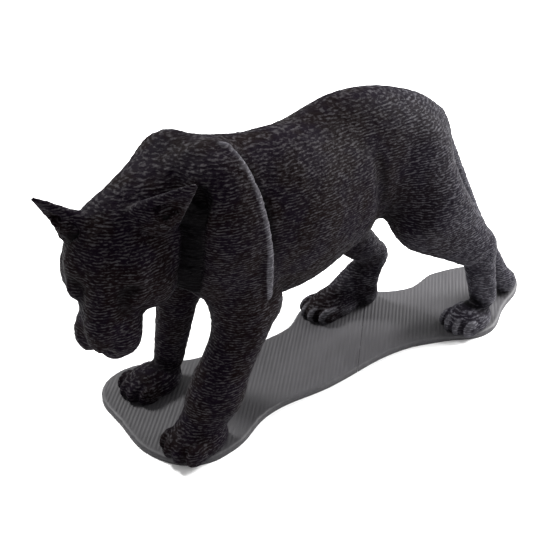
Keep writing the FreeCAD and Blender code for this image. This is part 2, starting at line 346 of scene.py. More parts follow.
class String(Muscle):
    """Bones end to end through (place, radius) stations."""

    def __init__(self, stations):
        self.bones = [Bone(a, b, ra, rb) for (a, ra), (b, rb) in zip(stations, stations[1:])]
        places = np.array([place for place, radius in stations], float)
        middle = (places.min(0) + places.max(0)) / 2
        reach = max(np.linalg.norm(place - middle) + radius
                    for place, (_, radius) in zip(places, stations))
        super().__init__(middle, reach)

    def __call__(self, points):
        total = self.bones[0](points)
        for other in self.bones[1:]:
            total = np.minimum(total, other(points))
        return total

    def block(self, mesh):
        for one in self.bones:
            one.block(mesh)


class Trimmed(Muscle):
    """A muscle cut off flat beyond a plane, with the cut's edge rounded."""

    def __init__(self, inner, place, outward, blend):
        super().__init__(inner.middle, inner.reach)
        self.inner, self.blend = inner, blend
        self.place, self.outward = np.asarray(place, float), unit(outward)

    def __call__(self, points):
        beyond = (points - self.place) @ self.outward
        return -melt(-self.inner(points), -beyond, self.blend)

    def block(self, mesh):
        self.inner.block(mesh)


SPINE_Y = -5.0
HEAD_AT = np.array((-149.0, -9.5, 112.0))
HEAD_TURN, HEAD_DROP, HEAD_TILT = 37.0, 53.0, 4.0


def head_axes():
    """Rows: along the muzzle, towards the right ear, towards the crown."""
    turn, drop, tilt = np.radians((HEAD_TURN, HEAD_DROP, HEAD_TILT))
    ahead = np.array((-np.cos(drop) * np.cos(turn), -np.cos(drop) * np.sin(turn), -np.sin(drop)))
    level = np.array((-np.sin(turn), np.cos(turn), 0.0))
    crown = np.array((-np.sin(drop) * np.cos(turn), -np.sin(drop) * np.sin(turn), np.cos(drop)))
    right = level * np.cos(tilt) + crown * np.sin(tilt)
    up = crown * np.cos(tilt) - level * np.sin(tilt)
    return np.stack((ahead, right, up))


HEAD = head_axes()


def on_head(ahead, right, up):
    """A place measured from the middle of the skull along the head's own axes."""
    return HEAD_AT + np.array((ahead, right, up), float) @ HEAD


def head_ball(place, half):
    return Ball(on_head(*place), half, HEAD)


def lay_trunk(clay):
    """Ribcage, loin and croup, then the neck and its crest."""
    clay.lay(Ball((-59, SPINE_Y - 6, 112), (64, 36, 45)), 8)
    clay.lay(Ball((-2, SPINE_Y + 2, 121), (50, 28, 40)), 14)
    clay.lay(Ball((26, SPINE_Y + 2, 122), (46, 30.5, 32)), 14)
    clay.lay(Ball((-102, 15, 116), (19, 13, 42)), 6)
    clay.lay(Bone((-99, -4.5, 125.5), (-146, -9, 119), 35, 25, flat=((0, 1, 0), 1.3)), 14)
    clay.lay(String([((-108, 12, 147), 12), ((-122, 6, 142), 11.5), ((-136, -1, 138.5), 11.5),
                     ((-148, -4, 134), 10.5)]), 8)
    # flank bulge, then the fold between flank and thigh
    clay.lay(Ball((-18, -26, 112), (20, 11, 24)), 10)
    clay.carve(String([((1, -37, 96), 3.0), ((-3, -39, 116), 2.6), ((-4, -36, 136), 1.2)]), 7)


def lay_left_shoulder(clay):
    """The raised shield of the left shoulder blade and upper arm, with its crisp rear edge."""
    shield = Ball((-97, -21, 121), (33, 28, 40.5))
    shield = Trimmed(shield, (-86, -40, 120), (1, -0.1, 0.12), 2)
    shield = Trimmed(shield, (-118.5, -38, 120), (-1, -0.1, -0.05), 9)
    clay.lay(shield, 2.5)
    clay.lay(Ball((-100, -13, 150), (17, 9, 12)), 6)
    clay.lay(String([((-93, -19, 159), 3.2), ((-92.5, -32.5, 153), 3.4), ((-90, -40.5, 142), 3.2),
                     ((-88, -45, 127), 2.8), ((-86.5, -46.5, 112), 2.5), ((-86, -46, 98), 2.3),
                     ((-85, -44, 87), 2.0)]), 3)


# The deep fold between the left cheek and the shoulder, from the top down.
FOLD = ((-117, -34, 146), (-119, -32.5, 136), (-120, -32, 122), (-121, -30.5, 108), (-119, -24, 94))


def lay_head(clay):
    """Skull, muzzle, bridge and jaw, then cheeks, lips, brows, lids, nose, mouth and ears."""
    head = Clay(HEAD_AT, 62)
    head.lay(head_ball((-4, 0.5, 0.5), (28.5, 26.5, 22.7)), 10)
    head.lay(head_ball((19, 0, -3), (21, 15.5, 16)), 5)
    head.lay(head_ball((30, 0, -6), (11.8, 13, 13)), 5)
    head.lay(Bone(on_head(4, 0, 15), on_head(34, 0, 6), 9, 6.5), 6)
    head.lay(head_ball((28.5, 0, -18.5), (17.3, 12, 10.2)), 3)
    for side in (-1, 1):
        head.lay(head_ball((4, 17 * side, -5), (14, 11.3, 15.3)), 5)
        head.lay(head_ball((32, 8.3 * side, -4), (11.5, 8.3, 9.5)), 2)
        head.lay(head_ball((5, 13 * side, 14.5), (9, 7.5, 6)), 4)
        head.carve(head_ball((17.5, 15.5 * side, 16), (6, 5, 3)), 5)
        head.lay(head_ball((14, 14.5 * side, 9.5), (6.6, 5, 4.8)), 3.5)
    head.lay(head_ball((39, 0, 3.5), (4.8, 5.8, 4.5)), 2)
    for side in (-1, 1):
        head.carve(head_ball((43.2, 3.2 * side, 3.6), (2.2, 1.5, 1.6)), 1)
        head.carve(String([(on_head(44, 0, -7), 0.9), (on_head(41, 8 * side, -11), 1.0),
                           (on_head(28, 15 * side, -12), 1.1),
                           (on_head(18, 17.5 * side, -10), 0.8)]), 1.5)
    head.carve(String([(on_head(45, 0, 0), 0.7), (on_head(44.5, 0, -8), 0.8)]), 1)
    clay.lay(head, 6)
    clay.carve(String([(place, 5.2) for place in FOLD]), 3)
    for side in (-1, 1):
        lay_ear(clay, side)


# For each side: an ear's root, its tip and the way its hollow faces, all on the head.
EARS = {
    -1: ((-23, -20.5, 18), (-37, -40.5, 34.5), (0.45, -0.55, 0.7)),
    1: ((-13.5, 19, 15), (-21, 35.5, 32), (1.0, 0.12, 0.35)),
}


def ear_axes(side):
    """An ear's root, tip, the way it points and the way its hollow faces."""
    root, tip, facing = EARS[side]
    root, tip = on_head(*root), on_head(*tip)
    along = unit(tip - root)
    front = np.asarray(facing, float) @ HEAD
    return root, tip, along, unit(front - (front @ along) * along)


def lay_ear(clay, side):
    """A pointed ear: a flattened cone, then its hollow."""
    root, tip, along, front = ear_axes(side)
    clay.lay(Bone(root - along * 2, tip, 12, 1.2, flat=(front, 2.0)), 5)
    inner = root + front * 4.6 + along * 1.0
    clay.carve(Bone(inner, tip + front * 1.0 - along * 6, 8.8, 1.0, flat=(front, 1.7)), 1.2)


def lay_paw(clay, place, heading, length, width, height):
    """A low pad with four toes; heading turns it from -X towards the animal's left."""
    turn = np.radians(heading)
    ahead = np.array((-np.cos(turn), -np.sin(turn), 0.0))
    right = np.array((-np.sin(turn), np.cos(turn), 0.0))
    axes = np.stack((ahead, right, (0.0, 0.0, 1.0)))
    place = np.asarray(place, float)
    clay.lay(Ball(place + (0, 0, height * 0.28), (length / 2, width / 2, height * 0.62), axes), 4)
    for i in (-1.5, -0.5, 0.5, 1.5):
        reach = length * (0.34 - 0.045 * i * i)
        toe = place + ahead * reach + right * (i * width * 0.25) + (0, 0, height * 0.24)
        clay.lay(Ball(toe, (length * 0.2, width * 0.135, height * 0.42), axes), 1.2)


def lay_left_foreleg(clay):
    clay.lay(Bone((-92, -27, 98), (-94, -31.6, 69), 18.9, 13.7), 8)
    clay.lay(Ball((-79, -34, 77), (9, 9, 11)), 3)
    clay.lay(Bone((-89, -32.2, 72.6), (-110, -34, 36), 13.9, 13.0), 5)
    clay.lay(Bone((-110, -34.3, 36), (-121, -32, 12), 12.8, 12), 6)
    clay.lay(Ball((-113, -34.5, 29), (14, 12.5, 10)), 5)
    lay_paw(clay, (-124, -33.5, 3.5), 8, 37, 28, 15)


def lay_right_foreleg(clay):
    clay.lay(Bone((-92, 18, 95), (-92, 24, 66), 18, 13), 8)
    clay.lay(Bone((-94, 24.4, 66.2), (-102, 27, 18), 12.3, 8.6), 5)
    lay_paw(clay, (-115.5, 24.5, 3.5), 5, 37, 27, 14)


def lay_left_hind_leg(clay):
    clay.lay(Ball((36, -24, 106), (23, 17, 35)), 7)
    clay.lay(Bone((42, -26, 94), (76, -35, 56), 21.5, 12), 8)
    clay.lay(Bone((34, -33, 84), (66, -37, 60), 17, 11), 6)
    clay.lay(Bone((77, -36.5, 57), (85, -38, 20), 10, 8.2), 5)
    clay.lay(Ball((84, -36.5, 52), (6.5, 6, 8)), 4)
    lay_paw(clay, (73.5, -38, 3.5), 4, 33, 25, 14)


def lay_right_hind_leg(clay):
    clay.lay(Ball((15.9, 11, 94.7), (25.5, 14.8, 32.9)), 8)
    clay.lay(Bone((8.5, 14, 72), (43, 18, 38), 14, 9), 8)
    clay.lay(Bone((43, 18, 37), (38, 21, 13), 8.4, 8.6), 4)
    clay.lay(Ball((41, 21, 9), (8, 8, 8)), 4)
    clay.lay(Bone((35, 22, 23), (17, 25, 11), 9, 7.5), 5)
    lay_paw(clay, (17.5, 25, 3.5), 0, 42, 25, 14)


def lay_tail(clay):
    clay.lay(String([((60, -7, 131), 8), ((78, -10, 97), 6.2), ((93, -14, 64), 5.8),
                     ((106, -18, 37), 6.6), ((115, -22, 16), 8), ((121, -24, 10), 7.6)]), 3)


def whole_figure():
    clay = Clay()
    lay_trunk(clay)
    lay_left_foreleg(clay)
    lay_left_shoulder(clay)
    lay_head(clay)
    lay_right_foreleg(clay)
    lay_left_hind_leg(clay)
    lay_right_hind_leg(clay)
    lay_tail(clay)
    return clay


# Where each sculpted piece is found: a point in the middle of it.
PIECES = {
    "chest_section": (-60, -11, 112),
    "hip_section": (26, -3, 122),
    "left_foreleg": (-105, -33, 40),
    "right_foreleg": (-98, 25, 40),
    "left_hind_leg": (74, -36, 40),
    "right_hind_leg": (36, 18, 40),
    "tail": (97, -15, 52),
}
HEAD_PIECES = {
    "head": (-150, -9, 108),
    "left_ear": on_head(-32, -37, 33),
    "right_ear": on_head(-18.5, 31, 26),
}


# ---------------------------------------------------------------- mesh helpers

def grain(points, pitch, seed):
    """Smooth noise from -1 to 1 whose lumps are pitch wide along x, y and z."""
    cells = np.asarray(points) / pitch
    corner = np.floor(cells).astype(np.int64)
    part = cells - corner
    part = part * part * (3.0 - 2.0 * part)
    total = np.zeros(len(cells))
    for step in itertools.product((0, 1), repeat=3):
        at = corner + step
        code = at[:, 0] * 73856093 ^ at[:, 1] * 19349663 ^ at[:, 2] * 83492791 ^ seed * 7919
        code = (code ^ (code >> 13)) * 1274126177 & 0x7FFFFFFF
        value = ((code ^ (code >> 15)) & 0xFFFF) / 32767.5 - 1.0
        total += value * np.prod(np.where(step, part, 1.0 - part), axis=1)
    return total


def places_of(mesh):
    flat = np.empty(len(mesh.vertices) * 3)
    mesh.vertices.foreach_get("co", flat)
    return flat.reshape(-1, 3) / MM


def put_places(mesh, places):
    mesh.vertices.foreach_set("co", (places * MM).ravel())
    mesh.update()


def normals_of(mesh):
    flat = np.empty(len(mesh.vertices) * 3)
    mesh.vertex_normals.foreach_get("vector", flat)
    return flat.reshape(-1, 3)


def made(name, mesh_data):
    """A new object for a mesh, at the origin and linked to the scene."""
    thing = bpy.data.objects.new(name, mesh_data)
    bpy.context.scene.collection.objects.link(thing)
    return thing


def from_bmesh(name, mesh):
    data = bpy.data.meshes.new(name)
    mesh.to_mesh(data)
    mesh.free()
    return made(name, data)


def opened(thing):
    mesh = bmesh.new()
    mesh.from_mesh(thing.data)
    return mesh


def closed(mesh, thing):
    mesh.to_mesh(thing.data)
    mesh.free()
    thing.data.update()


def remeshed(thing, voxel):
    """Gives the object an even closed skin with cells this many millimetres wide."""
    modifier = thing.modifiers.new("skin", "REMESH")
    modifier.mode = "VOXEL"
    modifier.voxel_size = voxel * MM
    skin = bpy.data.meshes.new_from_object(
        thing.evaluated_get(bpy.context.evaluated_depsgraph_get()))
    thing.modifiers.clear()
    old, thing.data = thing.data, skin
    bpy.data.meshes.remove(old)


def settle(thing, clay, rounds, stride, reach):
    """Moves the skin onto the clay, wherever it is already nearer to it than reach."""
    places = places_of(thing.data)
    corners = np.array(((1, -1, -1), (-1, -1, 1), (-1, 1, -1), (1, 1, 1)), float)
    probe, flattest = 0.25, 0.15
    for _ in range(rounds):
        depths = [clay(places + corner * probe) for corner in corners]
        here = sum(depths) / 4.0
        slope = sum(d[:, None] * corner for d, corner in zip(depths, corners)) / (4.0 * probe)
        steep2 = np.maximum(np.einsum("ij,ij->i", slope, slope), flattest)
        step = np.clip(here, -stride, stride) / steep2
        step[np.abs(here) > reach] = 0.0
        places = places - slope * step[:, None]
    put_places(thing.data, places)


def fuzz(thing, depth, dash, layer, seed):
    """The rough drag of a printed wall: short dashes that run along the layers."""
    places, normals = places_of(thing.data), normals_of(thing.data)
    coarse = grain(places, np.array((dash, dash, layer)), seed)
    fine = grain(places, np.array((dash * 0.45, dash * 0.45, layer * 0.62)), seed + 1)
    patch = 0.75 + 0.25 * grain(places, np.array((14.0, 14.0, 9.0)), seed + 2)
    lift = (coarse + 0.5 * fine) * patch * depth
    clear = np.clip((places[:, 2] - BASE_TOP) / 2.0, 0.0, 1.0)
    put_places(thing.data, places + normals * (lift * clear)[:, None])


def trim(mesh, place, outward):
    """Cuts a whole bmesh along a plane, drops what is beyond it and closes the cut."""
    everything = mesh.verts[:] + mesh.edges[:] + mesh.faces[:]
    bmesh.ops.bisect_plane(mesh, geom=everything, dist=1e-7, plane_co=Vector(place) * MM,
                           plane_no=Vector(outward), clear_outer=True)
    cap(mesh)


def cap(mesh):
    rims = [edge for edge in mesh.edges if edge.is_boundary]
    bmesh.ops.holes_fill(mesh, edges=rims, sides=0)


def part_along(mesh, place, outward, low, high, spread=1000.0):
    """Parts a bmesh along a plane, only inside the box low-high and this near to place."""
    beside = 3 * MM
    place, outward = Vector(place) * MM, Vector(outward).normalized()
    low, high = Vector(low) * MM, Vector(high) * MM

    def inside(vert):
        at = vert.co
        return (abs((at - place) @ outward) < beside and (at - place).length < spread * MM
                and low.x < at.x < high.x
                and low.y < at.y < high.y and low.z < at.z < high.z)

    faces = {face for vert in mesh.verts if inside(vert) for face in vert.link_faces}
    edges = {edge for face in faces for edge in face.edges}
    verts = {vert for face in faces for vert in face.verts}
    cut = bmesh.ops.bisect_plane(mesh, geom=[*verts, *edges, *faces], dist=1e-7,
                                 plane_co=place, plane_no=outward)["geom_cut"]
    bmesh.ops.split_edges(mesh, edges=[e for e in cut if isinstance(e, bmesh.types.BMEdge)])


def apart(thing, middles):
    """Separates an object's loose shells; returns them by the name of the nearest middle."""
    for other in bpy.context.selected_objects:
        other.select_set(False)
    thing.select_set(True)
    bpy.context.view_layer.objects.active = thing
    bpy.ops.mesh.separate(type="LOOSE")
    shells = list(bpy.context.selected_objects)
    shells.sort(key=lambda shell: -len(shell.data.vertices))
    kept = [shell for shell in shells if len(shell.data.vertices) > SMALLEST_SHELL]
    clouds = [places_of(shell.data) for shell in kept]
    found = {}
    for name, middle in middles.items():
        gaps = [np.linalg.norm(cloud - np.asarray(middle, float), axis=1).min() for cloud in clouds]
        found[name] = kept[int(np.argmin(gaps))]
    if len(set(found.values())) < len(middles):
        raise RuntimeError(f"{thing.name} fell into the wrong pieces")
    for shell in shells:
        if shell not in found.values():
            bpy.data.objects.remove(shell)
    return found


def finished(thing, name, material, slot):
    """Closes the piece's cuts, shades it smooth with flat cuts, and hands it over."""
    mesh = opened(thing)
    for face in mesh.faces:
        face.smooth = True
    cap(mesh)
    bmesh.ops.recalc_face_normals(mesh, faces=mesh.faces)
    for face in mesh.faces:
        if len(face.verts) > CAP_CORNERS:
            face.smooth = False
            for edge in face.edges:
                edge.smooth = False
    closed(mesh, thing)
    thing.name = name + "_look"
    thing.data.name = name + "_look"
    thing.data.materials.clear()
    thing.data.materials.append(material)
    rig.ride(thing, "root")
    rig.replaces(thing, name)
    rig.slot(thing, slot)
    return thing


# ---------------------------------------------------------------- materials

class Wire:
    """A shader socket that takes arithmetic, so that a material reads as formulas."""

    def __init__(self, tree, socket):
        self.tree, self.socket = tree, socket

    def node(self, kind, sources=None, result=0, **settings):
        """Adds any node; sources maps its inputs to wires or constants."""
        node = self.tree.nodes.new(kind)
        for key, value in settings.items():
            setattr(node, key, value)
        for key, value in (sources or {}).items():
            if isinstance(value, Wire):
                self.tree.links.new(value.socket, node.inputs[key])
            else:
                node.inputs[key].default_value = value
        return Wire(self.tree, node.outputs[result])

    def _math(self, operation, first, second=0.0):
        return self.node("ShaderNodeMath", {0: first, 1: second}, operation=operation)

    def __add__(self, other):
        return self._math("ADD", self, other)

    def __radd__(self, other):
        return self._math("ADD", other, self)

    def __rsub__(self, other):
        return self._math("SUBTRACT", other, self)

    def __mul__(self, other):
        return self._math("MULTIPLY", self, other)

    def axis(self, name):
        return self.node("ShaderNodeSeparateXYZ", {0: self}, result=name)

    def noted(self, name):
        """What was noted on the mesh's vertices under this name."""
        return self.node("ShaderNodeAttribute", result="Fac", attribute_name=name)

    def bump(self, strength, distance):
        return self.node("ShaderNodeBump", {"Height": self, "Strength": strength,
                                            "Distance": distance})

    def limited(self, low, high):
        """From 0 at low to 1 at high, and no further."""
        return self.node("ShaderNodeMapRange", {"Value": self, "From Min": low, "From Max": high})

    def scaled(self, x, y, z):
        """A vector with each axis multiplied."""
        return self.node("ShaderNodeVectorMath", {0: self, 1: (x, y, z)}, operation="MULTIPLY")

    def noise(self, detail, roughness):
        return self.node("ShaderNodeTexNoise",
                         {"Vector": self, "Scale": 1.0, "Detail": detail,
                          "Roughness": roughness}, result="Fac")

    def between(self, first, second):
        """A colour from first to second as this goes from 0 to 1."""
        return self.node("ShaderNodeMix", {"Factor": self, 6: first, 7: second}, result=2,
                         data_type="RGBA")


def new_material(name):
    """A material with a Principled surface; returns it, the surface and the place wire."""
    material = bpy.data.materials.new(name)
    material.use_nodes = True
    tree = material.node_tree
    surface = tree.nodes["Principled BSDF"]
    coordinates = tree.nodes.new("ShaderNodeTexCoord")
    return material, surface, Wire(tree, coordinates.outputs["Object"])


def join(wire, node, name):
    wire.tree.links.new(wire.socket, node.inputs[name])


def body_plastic():
    """Black plastic: light strokes along the layers on a ground that is stained purple, with painted light on the
    hips, a painted highlight on the shoulder's edge and painted shade in the grooves and folds.
    """
    material, surface, place = new_material("body_plastic")
    wander = place.scaled(85.0, 85.0, 60.0).noise(2.0, 0.5)
    turn = (place.axis("Z") * (1.0 / (LAYER_PITCH * MM)) + wander * 2.2) * math.tau
    crests = turn.node("ShaderNodeMath", {0: turn}, operation="SINE")
    dashes = place.scaled(380.0, 380.0, 1250.0).noise(2.0, 0.6)
    threads = place.scaled(900.0, 900.0, 2600.0).noise(2.0, 0.6)
    height = crests * 0.06 + dashes * 0.75 + threads * 0.25
    # painted shade: the tone follows the relief, so the grooves between the dashes are painted dark and the crests
    # pale
    tone = height.limited(0.50, 0.66)

    # The hips are painted lighter than the front, standing in for the light that falls on them, and the ground shifts
    # from purple to maroon.
    painted_hip_light = place.axis("X").limited(0.0, 0.09)
    stain = place.scaled(60.0, 60.0, 60.0).noise(2.0, 0.5).limited(0.42, 0.58)
    ground = painted_hip_light.between(stain.between(GROUND_PURPLE, GROUND_MAROON), GROUND_REAR)
    strokes = painted_hip_light.between(STROKE_FRONT, STROKE_REAR)

    # The shoulder's edge is painted pale as a highlight, and the folds are painted black as shade.
    behind_head = place.axis("X").limited(-0.108, -0.100)
    ridge_highlight = behind_head * place.noted("bend").limited(0.08, 0.26) * (0.3 + tone * 0.5)
    with_ridge_highlight = ridge_highlight.between(tone.between(ground, strokes), RIDGE_HIGHLIGHT_PAINT)
    shade_paint_mask = place.noted("shelter").limited(0.10, 0.50) * 0.92
    join(shade_paint_mask.between(with_ridge_highlight, SHADE_BLACK_PAINT), surface, "Base Color")
    join(0.68 - tone * 0.16 + threads * 0.08, surface, "Roughness")
    join(height.bump(0.75, 0.5 * MM), surface, "Normal")
    surface.inputs["Specular IOR Level"].default_value = 0.03
    surface.inputs["Sheen Weight"].default_value = 0.03
    surface.inputs["Sheen Roughness"].default_value = 0.22
    surface.inputs["Sheen Tint"].default_value = BODY_SHEEN
    return material


def base_plastic():
    """Dark grey plastic with strands along the ribs, painted darker towards the front edge as shade."""
    material, surface, place = new_material("base_plastic")
    along = place.node("ShaderNodeVectorRotate", {"Vector": place, "Angle": math.radians(-45)},
                       rotation_type="Z_AXIS")
    strands = along.scaled(60.0, 900.0, 900.0).noise(2.0, 0.5)
    patches = place.scaled(40.0, 40.0, 200.0).noise(3.0, 0.55)
    grit = place.scaled(1200.0, 1200.0, 1200.0).noise(2.0, 0.6)
    tone = (strands * 0.5 + patches * 0.3 + grit * 0.2).limited(0.2, 0.8)
    # painted shade: the plate is painted darker towards the front edge
    front = place.axis("X").limited(-0.02, -0.15)
    join((tone * (1.0 - front * 0.75)).between(BASE_DARK, BASE_LIGHT), surface, "Base Color")
    join(0.55 + patches * 0.2, surface, "Roughness")
    join((strands + grit * 0.5).bump(0.4, 0.25 * MM), surface, "Normal")
    return material


def dowel_wood():
    """Pale beech with its grain along X."""
    material, surface, place = new_material("dowel_wood")
    lines = place.scaled(120.0, 1500.0, 1500.0).noise(3.0, 0.6)
    join(lines.between((0.42, 0.26, 0.13, 1.0), (0.62, 0.43, 0.24, 1.0)), surface, "Base Color")
    join(0.5 + lines * 0.25, surface, "Roughness")
    join(lines.bump(0.3, 0.2 * MM), surface, "Normal")
    return material


def steel(name, tint):
    """Zinc-bright steel, duller where it is handled."""
    material, surface, place = new_material(name)
    wear = place.scaled(700.0, 700.0, 2500.0).noise(3.0, 0.6)
    dark = tuple(channel * 0.8 for channel in tint[:3]) + (1.0,)
    join(wear.between(dark, tint), surface, "Base Color")
    surface.inputs["Metallic"].default_value = 1.0
    join(0.24 + wear * 0.2, surface, "Roughness")
    join(wear.bump(0.2, 0.1 * MM), surface, "Normal")
    return material


def floor_paper():
    material, surface, place = new_material("floor_paper")
    mottle = place.scaled(9.0, 9.0, 9.0).noise(3.0, 0.5)
    join(mottle.between((0.93, 0.93, 0.93, 1.0), (0.97, 0.97, 0.97, 1.0)), surface, "Base Color")
    join(0.8 + mottle * 0.1, surface, "Roughness")
    return material


# ---------------------------------------------------------------- pieces

def rough_figure(clay):
    """The whole figure blocked out with balls and drawn onto the clay."""
    mesh = bmesh.new()
    clay.block(mesh)
    for vert in mesh.verts:
        vert.co *= MM
    thing = from_bmesh("rough_figure", mesh)
    remeshed(thing, 1.8)
    settle(thing, clay, 14, 1.6, 40.0)
    remeshed(thing, 1.2)
    settle(thing, clay, 4, 1.0, 20.0)
    return thing


def marked(thing, clay):
    """Notes on each vertex how sharply the form bends and how deep it lies in shade, for the painted highlight and the
    painted shade.

    The bend is the clay's curvature per millimetre. The painted shade is 0 in the open, and grows
    where the clay closes in or the fold behind the cheek is near.
    """
    mesh = thing.data
    places, step = places_of(mesh), 2.5
    pairs = [(clay(places + way), clay(places - way)) for way in np.eye(3) * step]
    slope = np.stack([ahead - behind for ahead, behind in pairs], axis=1)
    slope /= np.maximum(np.linalg.norm(slope, axis=1, keepdims=True), 1e-9)
    bend = sum(ahead + behind for ahead, behind in pairs) / step ** 2
    shelter = sum(1.0 - clay(places + slope * reach) / reach for reach in (3.0, 6.0, 10.0)) / 3
    # painted shade: the fold behind the cheek is painted black
    fold = String([(place, 3.5) for place in FOLD])(places)
    shelter = np.maximum(shelter, 0.6 - 0.12 * fold)
    for name, values in (("bend", bend), ("shelter", shelter)):
        note = mesh.attributes.new(name, "FLOAT", "POINT")
        note.data.foreach_set("value", values.astype(np.float32))


def fine_skin(rough, clay, name, voxel, cuts):
    """A copy of the rough figure inside some planes, skinned finely."""
    thing = made(name, rough.data.copy())
    mesh = opened(thing)
    for place, outward in cuts:
        trim(mesh, place, outward)
    closed(mesh, thing)
    remeshed(thing, voxel)
    settle(thing, clay, 3, 0.5, 2.0)
    marked(thing, clay)
    return thing


def build_body(settings):
    clay = whole_figure()
    rough = rough_figure(clay)
    voxel = settings.voxel / MM * (QUICK_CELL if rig.quick() else 1.0)
    material = body_plastic()

    body = fine_skin(rough, clay, "body_skin", voxel, [])
    fuzz(body, settings.fuzz_depth / MM, settings.dash / MM, settings.layer / MM, settings.seed)
    mesh = opened(body)
    trim(mesh, (0, 0, BASE_TOP), (0, 0, -1))
    for cut in BODY_CUTS:
        part_along(mesh, *cut)
    closed(mesh, body)
    middles = dict(PIECES, head=HEAD_PIECES["head"])
    shells = apart(body, middles)
    bpy.data.objects.remove(shells.pop("head"))

    # the head is skinned again, more finely, from a little behind the neck's cut
    head = fine_skin(rough, clay, "head_skin", voxel * HEAD_CELL,
                     [((NECK_X + 4, 0, 0), (1, 0, 0)), ((0, 0, 46), (0, 0, -1))])
    fuzz(head, settings.fuzz_depth / MM * HEAD_FUZZ, settings.dash / MM, settings.layer / MM,
         settings.seed)
    mesh = opened(head)
    part_along(mesh, *NECK_CUT)
    for side in (-1, 1):
        root, _, along, _ = ear_axes(side)
        place = root + along * EAR_CUT
        part_along(mesh, place, along, place - 15, place + 15, spread=EAR_WIDTH)
    closed(mesh, head)
    shells.update(apart(head, HEAD_PIECES))
    for name, shell in shells.items():
        finished(shell, name, material, "body_plastic")
    bpy.data.objects.remove(rough)


def outline_ring(mesh):
    """The base's edge as a closed smooth ring of vertices in a bmesh."""
    curve = bpy.data.curves.new("base_edge", "CURVE")
    curve.dimensions = "2D"
    curve.fill_mode = "NONE"
    curve.resolution_u = 32
    line = curve.splines.new("BEZIER")
    line.bezier_points.add(len(BASE_OUTLINE) - 1)
    line.use_cyclic_u = True
    for point, (x, y) in zip(line.bezier_points, BASE_OUTLINE):
        point.co = (x * MM, y * MM, 0.0)
        point.handle_left_type = point.handle_right_type = "AUTO"
    thing = made("base_edge", curve)
    data = bpy.data.meshes.new_from_object(
        thing.evaluated_get(bpy.context.evaluated_depsgraph_get()))
    mesh.from_mesh(data)
    bpy.data.objects.remove(thing)
    bpy.data.curves.remove(curve)
    bpy.data.meshes.remove(data)


def base_plate(settings):
    """The whole base: a thin plate with a rounded rough rim and a ribbed top."""
    mesh = bmesh.new()
    outline_ring(mesh)
    bmesh.ops.remove_doubles(mesh, verts=mesh.verts, dist=1e-6)
    bmesh.ops.contextual_create(mesh, geom=mesh.edges[:])
    bottom = mesh.faces[:]
    if bottom[0].normal.z > 0:
        bmesh.ops.reverse_faces(mesh, faces=bottom)
    grown = bmesh.ops.extrude_face_region(mesh, geom=bottom, use_keep_orig=True)["geom"]
    top = [item for item in grown if isinstance(item, bmesh.types.BMFace)]
    lifted = [item for item in grown if isinstance(item, bmesh.types.BMVert)]
    bmesh.ops.translate(mesh, verts=lifted, vec=(0, 0, RIM_FOOT * MM))
    bmesh.ops.recalc_face_normals(mesh, faces=mesh.faces)
    for inward, rise in RIM_STEPS:
        bmesh.ops.inset_region(mesh, faces=top, thickness=inward * MM, depth=rise * MM,
                               use_even_offset=True, use_boundary=True)
    edge = {vert for face in top for vert in face.verts}
    for vert in edge:
        vert.co.z = BASE_TOP * MM
    rib_top(mesh, top, settings)
    rough_rim(mesh, settings)
    return mesh


def rib_top(mesh, top, settings):
    """Cuts the top into strips that run along the seam and shapes them into ribs."""
    across = Vector((1, -1, 0)).normalized()
    along = Vector((1, 1, 0)).normalized()
    strips = list(top)
    pitch = settings.rib_pitch
    for way, gap in ((across, pitch / 4), (along, RIB_CELL * MM)):
        reaches = [vert.co @ way for face in strips for vert in face.verts]
        for reach in np.arange(min(reaches) + gap, max(reaches), gap):
            ahead = [face for face in strips if max(v.co @ way for v in face.verts) > reach - 1e-6
                     and min(v.co @ way for v in face.verts) < reach]
            if not ahead:
                continue
            pieces = {*ahead, *(e for f in ahead for e in f.edges),
                      *(v for f in ahead for v in f.verts)}
            cut = bmesh.ops.bisect_plane(mesh, geom=list(pieces), dist=1e-8,
                                         plane_co=way * reach, plane_no=way)
            fresh = [item for item in cut["geom"] if isinstance(item, bmesh.types.BMFace)]
            gone = set(ahead)
            strips = [face for face in strips if face.is_valid and face not in gone]
            strips += [face for face in {*fresh, *ahead} if face.is_valid]
    inner = set(strips)
    verts = [vert for vert in {v for f in strips for v in f.verts}
             if all(face in inner for face in vert.link_faces)]
    places = np.array([vert.co[:] for vert in verts]) / MM
    turn = 2 * np.pi * (places @ np.array(across)) / (pitch / MM)
    groove = 0.5 - 0.5 * np.cos(turn)
    wobble = grain(places, np.array((5.0, 5.0, 5.0)), settings.seed)
    sink = groove ** 1.5 * settings.rib_depth / MM + RIB_WAVER * wobble
    for vert, down in zip(verts, sink):
        vert.co.z -= max(down, 0.0) * MM


def rough_rim(mesh, settings):
    """Roughens the plate's edge like a dragged wall."""
    rim = [vert for vert in mesh.verts if any(abs(face.normal.z) < 0.85
                                              for face in vert.link_faces)]
    places = np.array([vert.co[:] for vert in rim]) / MM
    lift = (grain(places, np.array((2.6, 2.6, 0.8)), settings.seed + 5)
            + 0.6 * grain(places, np.array((1.1, 1.1, 0.6)), settings.seed + 6))
    for vert, out in zip(rim, lift * settings.rim_fuzz / MM):
        normal = Vector((vert.normal.x, vert.normal.y, 0.0))
        if vert.co.z > 0.1 * MM and normal.length > 0.2:
            vert.co += normal.normalized() * out * MM


